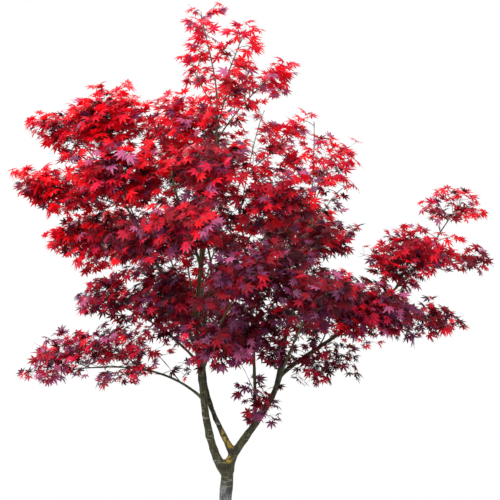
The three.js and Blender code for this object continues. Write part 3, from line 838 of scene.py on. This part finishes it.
# how often each tint, in that order, is dealt to a spray or a leaf. Brighter mixes go to the lit top and left
# of the crown and darker, purpler ones to its heart and lower right: painted light and shade
mixes = {
    "flaming": (0.42, 0.25, 0.13, 0.05, 0.03, 0.01, 0.03, 0.06, 0.04),
    "light": (0.28, 0.2, 0.11, 0.03, 0.01, 0, 0.02, 0.13, 0.26),
    "bright": (0.31, 0.24, 0.15, 0.07, 0.03, 0.01, 0.04, 0.09, 0.08),
    "mixed": (0.12, 0.17, 0.2, 0.18, 0.12, 0.06, 0.1, 0.035, 0.05),
    "warm": (0.2, 0.2, 0.18, 0.13, 0.08, 0.03, 0.07, 0.06, 0.06),
    "dusky": (0.02, 0.07, 0.15, 0.21, 0.18, 0.08, 0.2, 0.06, 0.03),
    "shaded": (0, 0.02, 0.1, 0.27, 0.27, 0.14, 0.18, 0.02, 0.01),
    "rosy": (0.05, 0.1, 0.15, 0.14, 0.1, 0.03, 0.18, 0.22, 0.08),
    "plummy": (0, 0.008, 0.06, 0.2, 0.23, 0.13, 0.29, 0.065, 0.015),
    "purple": (0, 0, 0.03, 0.17, 0.2, 0.08, 0.45, 0.06, 0.01),
    "deep": (0, 0, 0.03, 0.15, 0.31, 0.38, 0.12, 0.01, 0),
}


def drawn(weights, random):
    mark = random() * sum(weights)
    for index, weight in enumerate(weights):
        mark -= weight
        if mark < 0:
            return index
    return len(weights) - 1


# twigs are too many for an operator each, so their rings of corners are joined into one piece
class Twigs:
    def __init__(self):
        self.places, self.faces, self.count = [], [], 0

    def add(self, path, radii, sides):
        rings = len(path)
        ahead = np.gradient(path, axis=0)
        ahead /= np.linalg.norm(ahead, axis=1)[:, None] + 1e-12
        normal = unit(np.cross(ahead[0], (0.31, 0.87, 0.38)))
        turned = np.arange(sides) * 2 * math.pi / sides
        for k in range(rings):
            normal = unit(normal - ahead[k] * normal.dot(ahead[k]))
            aside = np.cross(ahead[k], normal)
            ring = path[k] + radii[k] * (np.cos(turned)[:, None] * normal + np.sin(turned)[:, None] * aside)
            self.places.append(ring)
        first = self.count
        for k in range(rings - 1):
            for s in range(sides):
                a, b = first + k * sides + s, first + k * sides + (s + 1) % sides
                self.faces.append((a, b, b + sides, a + sides))
        self.faces.append(tuple(first + (rings - 1) * sides + s for s in range(sides)))
        self.count += rings * sides


# the three ways of a leaf: along its middle lobe, across, and the way its face looks
def leafFrame(place, along, random):
    outward = unit(np.array([place[0], place[1], 0]))
    start, over = leafHabit["high"]
    high = min(1, max(0, (place[2] - start) / over))
    facing = np.array([0, 0, ranged(leafHabit["up"], high)]) + ranged(leafHabit["out"], high) * outward
    facing[0] += leafHabit["tilt"] * (random() - 0.5)
    facing[1] += leafHabit["tilt"] * (random() - 0.5) - leafHabit["toFront"]
    facing = unit(facing)
    stray = [leafHabit["stray"] * (random() - 0.5) for _ in range(3)]
    stray[2] = stray[2] + leafHabit["lift"][1] * high + leafHabit["lift"][0]
    lead = unit(along) + stray
    lead = unit(lead - facing * lead.dot(facing))
    return np.stack([lead, np.cross(facing, lead), facing])


# limb, shares between which short leafy shoots leave it, how many, longest in millimetres, region, mix (with
# light and shade painted in by place)
shootRows = [
    ("leader", 0.3, 0.97, 17, 170, "top", "bright"),
    ("centreStem", 0.32, 0.97, 20, 200, "right", "mixed"),
    ("leftRiser", 0.3, 0.95, 16, 200, "leftHigh", "warm"),
    ("innerLeftBough", 0.3, 0.95, 8, 170, "leftHigh", "warm"),
    ("rightRiser", 0.25, 0.95, 14, 180, "right", "shaded"),
    ("middleStem", 0.6, 0.98, 12, 200, "back", "shaded"),
    ("rightBough", 0.12, 0.95, 9, 150, "arm", "shaded"),
    ("rightBough", 0.7, 1, 10, 120, "arm", "dusky"),
    ("rightArm", 0.35, 1, 10, 140, "arm", "bright"),
    ("lowLeftBough", 0.4, 0.95, 7, 105, "leftLow", "dusky"),
    ("leftSkirtBough", 0.35, 0.95, 6, 130, "leftLow", "shaded"),
    ("frontHighBough", 0.4, 0.95, 6, 150, "heart", "shaded"),
    ("frontLowBough", 0.4, 0.95, 5, 140, "heart", "shaded"),
    ("frontRightBough", 0.4, 0.95, 5, 140, "right", "shaded"),
    ("backLowBough", 0.35, 0.95, 8, 190, "back", "shaded"),
    ("backLeftBough", 0.3, 0.95, 11, 200, "back", "mixed"),
    ("backHighBough", 0.2, 0.95, 11, 210, "back", "mixed"),
    ("backRightBough", 0.3, 0.95, 11, 200, "back", "mixed"),
    ("slimLeft", 0.55, 1, 6, 150, "leftLow", "mixed"),
    ("slimUpright", 0.55, 1, 6, 150, "leftHigh", "mixed"),
    ("slimRight", 0.55, 1, 6, 150, "heart", "shaded"),
    ("slimLow", 0.5, 1, 6, 140, "leftLow", "shaded"),
    ("slimInner", 0.5, 1, 7, 150, "right", "shaded"),
    ("centreStem", 0.72, 1, 6, 170, "right", "shaded"),
    ("fanUp", 0.45, 1, 5, 75, "right", "light"),
    ("fanOut", 0.45, 1, 4, 70, "right", "light"),
    ("fanLow", 0.5, 1, 3, 65, "right", "bright"),
    ("fanLeft", 0.55, 1, 5, 80, "right", "light"),
    ("fanMid", 0.4, 1, 5, 80, "right", "dusky"),
    ("tierLeft", 0.4, 1, 9, 100, "leftHigh", "bright"),
    ("rightArm", 0.02, 0.35, 5, 120, "arm", "dusky"),
    ("rightRiser", 0.18, 0.5, 8, 190, "right", "plummy"),
    ("sprayTwig", 0.6, 1, 3, 45, "right", "purple"),
    ("archRight", 0.85, 1, 1, 45, "right", "deep"),
    ("archLow", 0.55, 1, 3, 60, "leftLow", "shaded"),
    ("hangOut", 0.6, 1, 7, 62, "leftLow", "rosy"),
    ("hangIn", 0.7, 1, 2, 45, "leftLow", "dusky"),
    ("tipLeft", 0.6, 1, 8, 70, "leftHigh", "flaming"),
    ("hangEnd", 0.62, 1, 7, 58, "leftLow", "rosy"),
]


# a leaf on a twig's node, unless it would leave the mass or touch a limb
def addLeaf(leaves, random, node, along, tint, mix, kept):
    axes = leafFrame(node + along * leafSizes["stalk"], along, random)
    start, over = leafSizes["lowFrom"]
    size = ranged(leafSizes["sizes"], random())
    size *= 1 - leafSizes["smallerLow"] * min(1, max(0, (start - node[2]) / over))
    mould = int(random() * len(moulds))
    shade = tint if random() < leafSizes["sameTint"] else drawn(mix, random)
    turn = axes * size
    junction = node - moulds[mould]["root"] @ turn
    middle = junction + axes[0] * leafSizes["lobe"] * 0.5
    if not kept(middle):
        return
    gaps = np.linalg.norm(limbDots - middle, axis=1) - limbDotRadii
    if gaps.min() >= twigSizes["clearOfLimb"]:
        leaves.append((mould, turn, junction, shade))


# a short side shoot with two or three leaves at its end
def addShoot(twigs, random, putLeaf, node, out, along):
    length = ranged(twigSizes["shootLength"], random())
    end = node + out * length
    line = bend(node, node + out * length * 0.4, end - unit(out + along) * length * 0.3, end)
    steps = np.linspace(0, 1, 4)
    twigs.add(placeOn(line, steps), np.interp(steps, [0, 1], twigSizes["shoot"]) * mm, 3)
    flat = unit(np.cross((0, 0, 1), out))
    for side in (-0.8, 0.8):
        putLeaf(end, unit(out * 0.8 + side * flat))
    if random() < 0.5:
        putLeaf(end, out)


# a twig with pairs of leaves or shoots from its tip back to its bare foot
def leafyTwig(twigs, leaves, random, foot, lean, tip, mix, kept, bareFoot):
    reach = np.linalg.norm(tip - foot)
    if reach < twigSizes["shortest"]:
        return
    arrive = tip - unit(unit(tip - foot) + [0, 0, -0.25]) * reach * 0.3
    path = bend(foot, foot + lean * reach * 0.4, arrive, tip)
    shares = np.linspace(0, 1, 9)
    twigs.add(placeOn(path, shares), np.interp(shares, [0, 1], twigSizes["twig"]) * mm, 4)
    tint = drawn(mix, random)

    def putLeaf(node, along):
        addLeaf(leaves, random, node, along, tint, mix, kept)

    at, step = 1.0, 0
    while at > bareFoot:
        node = placeOn(path, at)
        along = headingOn(path, at)
        across = unit(np.cross((0, 0, 1), along))
        up = np.cross(along, across)
        quarter = 0.1 + (step % 2) * 0.55 + 0.5 * (random() - 0.5)
        aside = across * math.cos(quarter) + up * math.sin(quarter) * 0.7
        for hand in (-1, 1):
            out = unit(along * (0.9 if step == 0 else 0.55) + hand * aside + [0, 0, -0.1])
            if step % 3 == 1 and random() < twigSizes["shootShare"]:
                addShoot(twigs, random, putLeaf, node, out, along)
            else:
                putLeaf(node, out)
        if step == 0:
            putLeaf(node, along)
        at -= twigSizes["nodeGap"] * ranged((0.8, 0.4), random()) / path["length"]
        step += 1


# tips are spread evenly over a mass's space, which grows flatter and thinner away from the trunk
def sprayTip(mass, random, turn, rise, depth):
    centre = mass["centre"]
    height = 2 * rise - 1
    ring = math.sqrt(1 - height * height)
    way = np.array([ring * math.cos(turn * 2 * math.pi), ring * math.sin(turn * 2 * math.pi), height])
    way = way * depth ** twigSizes["crowding"] * twigSizes["fill"] * ranged(twigSizes["reach"], random())
    outward = np.array([centre[0], centre[1], 0])
    over, start = twigSizes["outer"]
    outer = float(np.clip(np.linalg.norm(outward) / over - start, 0, 1))
    ahead = way @ unit(outward)
    if ahead > 0:
        way[2] *= 1 - twigSizes["taper"] * outer * ahead
    else:
        way += unit(outward) * ahead * twigSizes["inward"]
    way[2] *= twigSizes["tall"] - twigSizes["flatter"] * outer
    return centre + way * mass["half"]


def leafySpray(mass, twigs, leaves, random, k):
    first = mass["seed"] * twigSizes["seedStep"]
    turn, rise, depth = [(first + k * step) % 1 for step in twigSizes["spread"]]
    tip = sprayTip(mass, random, turn, rise, depth)
    floor = bareUnderside["height"] if mass["name"] in bareUnderside["masses"] else 0
    if tip[0] > bareUnderside["outTo"]:
        tip[2] = max(tip[2], floor)
    share = footOn(mass["curve"], tip)
    foot = placeOn(mass["curve"], share)
    lean = unit(unit(tip - foot) + 0.5 * headingOn(mass["curve"], share) + [0, 0, 0.25])

    def kept(middle):
        gap = (middle - mass["centre"]) / (mass["half"] + twigSizes["overhang"] * mm)
        if middle[0] > bareUnderside["outTo"] and middle[2] < floor:
            return False
        return gap @ gap < 1 and (middle > crownLow).all() and (middle < crownHigh).all()

    # painted shade: sprays deep inside a mass take the darker shaded mix
    shaded = depth < twigSizes["shadedCore"] and mass["mix"] not in twigSizes["evenMixes"]
    mix = mixes["shaded" if shaded else mass["mix"]]
    leafyTwig(twigs, leaves, random, foot, lean, tip, mix, kept, twigSizes["bareFoot"])


def leafyShoots(row, twigs, leaves, seed):
    limb, first, last, count, longest, _, mix = row
    habit = twigSizes["alongLimb"]
    random = seeded(seed * 1013)
    for k in range(count):
        share = first + (last - first) * (k + random()) / count
        foot = placeOn(limbs[limb], share)
        along = headingOn(limbs[limb], share)
        turn = habit["turn"] * k + random()
        flat = unit(np.array([math.cos(turn), math.sin(turn), 0.1]))
        lean = unit(flat + 0.5 * along)
        length = longest * mm * ranged(habit["lengths"], random())
        tip = foot + unit(flat + 0.25 * along) * length
        leafyTwig(twigs, leaves, random, foot, lean, tip, mixes[mix], lambda _: True, habit["bareFoot"])


def foliage():
    twigs, byRegion = Twigs(), {}
    for mass in masses:
        random = seeded(mass["seed"] * 7919)
        leaves = byRegion.setdefault(mass["region"], [])
        shares = np.linspace(0, 1, 14)
        ends = [mass["foot"], twigSizes["stem"][1] * mm]
        twigs.add(placeOn(mass["curve"], shares), np.interp(shares, [0, 1], ends), 6)
        hx, hy, hz = mass["half"] / mm
        wanted = round(mass["full"] * (hx * hy + hy * hz + hz * hx) / twigSizes["spacePerSpray"])
        for k in range(wanted):
            leafySpray(mass, twigs, leaves, random, k)
    for index, row in enumerate(shootRows):
        leafyShoots(row, twigs, byRegion[row[5]], index + 1)
    return twigs, byRegion


def meshPiece(name, places, faces):
    mesh = bpy.data.meshes.new(name)
    mesh.from_pydata(places, [], faces)
    return linked(name, mesh)


# copies of the moulds joined into one piece, each leaf in a cell of its own in the map for baking
def leafPiece(name, leaves):
    places, faces, marks, cells, shades, first = [], [], [], [], [], 0
    side = math.ceil(math.sqrt(len(leaves)))
    wide = leafSizes["lobe"] * leafSizes["cell"]
    for index, (mould, turn, junction, shade) in enumerate(leaves):
        shape = moulds[mould]
        places.append(shape["places"] @ turn + junction)
        faces.append(shape["faces"] + first)
        marks.append(shape["marks"])
        flat = shape["places"][shape["faces"]][:, :, :2] / wide + 0.5
        cells.append((flat + [index % side, index // side]) / side)
        shades += [shade] * len(shape["faces"])
        first += len(shape["places"])
    made = meshPiece(name, np.concatenate(places).tolist(), np.concatenate(faces).tolist())
    mesh = made.data
    for title, values in (("leafMap", marks), ("OFBake", cells)):
        layer = mesh.uv_layers.new(name=title)
        layer.uv.foreach_set("vector", np.concatenate(values).astype(np.float32).ravel())
    for tint in tints:
        mesh.materials.append(leafPaints[tint])
    mesh.polygons.foreach_set("material_index", shades)
    mesh.update()
    return made


# gloss, light through the leaf, and a bump with a rib along each lobe and veins aslant from it
def leafMaterial(name, colour, glow, shine):
    paint, tree, base = newPaint(name + "Leaf")
    out = tree.nodes["Material Output"]
    base.inputs["Base Color"].default_value = (*colour, 1)
    base.inputs["Specular IOR Level"].default_value = shine
    warmer = (*[min(1, 1.25 * c) for c in colour], 1)
    through = addNode(tree, "BsdfTranslucent", {"Color": warmer})
    mix = addNode(tree, "MixShader", {0: glow})
    place = addNode(tree, "TexCoord")
    grain = addNode(tree, "TexNoise", {"Scale": 140})
    rough = addNode(tree, "MapRange", {"To Min": 0.3, "To Max": 0.56})
    lobe = addNode(tree, "UVMap")
    lobe.uv_map = "leafMap"
    split = addNode(tree, "SeparateXYZ")
    aside = addNode(tree, "Math", operation="ABSOLUTE")
    slope = addNode(tree, "Math", {1: -0.22}, "MULTIPLY_ADD")
    veins = addNode(tree, "Math", {1: 62}, "MULTIPLY")
    wave = addNode(tree, "Math", operation="SINE")
    rib = addNode(tree, "MapRange", {"From Max": 0.14, "To Min": -3, "To Max": 0})
    height = addNode(tree, "Math", operation="ADD")
    bump = addNode(tree, "Bump", {"Strength": 0.35, "Distance": 0.0006})
    wire(
        tree,
        (place.outputs["Object"], grain.inputs["Vector"]),
        (grain.outputs["Fac"], rough.inputs["Value"]),
        (rough.outputs[0], base.inputs["Roughness"]),
        (lobe.outputs[0], split.inputs[0]),
        (split.outputs["Y"], aside.inputs[0]),
        (aside.outputs[0], slope.inputs[0]),
        (split.outputs["X"], slope.inputs[2]),
        (slope.outputs[0], veins.inputs[0]),
        (veins.outputs[0], wave.inputs[0]),
        (aside.outputs[0], rib.inputs["Value"]),
        (wave.outputs[0], height.inputs[0]),
        (rib.outputs[0], height.inputs[1]),
        (height.outputs[0], bump.inputs["Height"]),
        (bump.outputs[0], base.inputs["Normal"]),
        (base.outputs[0], mix.inputs[1]),
        (through.outputs[0], mix.inputs[2]),
        (mix.outputs[0], out.inputs["Surface"]),
    )
    return paint


def twigMaterial():
    paint, tree, base = newPaint("brownTwig")
    place = addNode(tree, "TexCoord")
    grain = addNode(tree, "TexNoise", {"Scale": 55})
    ramp = addNode(tree, "ValToRGB")
    dark, pale = ramp.color_ramp.elements
    dark.color, dark.position = (0.028, 0.016, 0.014, 1), 0.35
    pale.color, pale.position = (0.16, 0.105, 0.085, 1), 0.7
    rough = addNode(tree, "MapRange", {"To Min": 0.5, "To Max": 0.8})
    bump = addNode(tree, "Bump", {"Strength": 0.4, "Distance": 0.0006})
    wire(
        tree,
        (place.outputs["Object"], grain.inputs["Vector"]),
        (grain.outputs["Fac"], ramp.inputs[0]),
        (ramp.outputs[0], base.inputs["Base Color"]),
        (grain.outputs["Fac"], rough.inputs["Value"]),
        (rough.outputs[0], base.inputs["Roughness"]),
        (grain.outputs["Fac"], bump.inputs["Height"]),
        (bump.outputs[0], base.inputs["Normal"]),
    )
    return paint


leafPaints = {name: leafMaterial(name, *facts) for name, facts in tints.items()}
twigs, byRegion = foliage()
for region, leaves in byRegion.items():
    piece = leafPiece(region + "Leaves", leaves)
    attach(piece, "root")
    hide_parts(*[mass["name"] + "Foliage" for mass in masses if mass["region"] == region])
    print(piece.name, len(leaves), "leaves,", len(piece.data.polygons), "faces")
print(sum(len(leaves) for leaves in byRegion.values()), "leaves")

twigPiece = meshPiece("twigs", np.concatenate(twigs.places).tolist(), twigs.faces)
twigPiece.data.materials.append(twigMaterial())
twigPiece.data.polygons.foreach_set("use_smooth", [True] * len(twigPiece.data.polygons))
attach(twigPiece, "root")
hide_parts(*[mass["name"] + "Foliage" for mass in masses])
print("twigs", len(twigPiece.data.polygons), "faces")
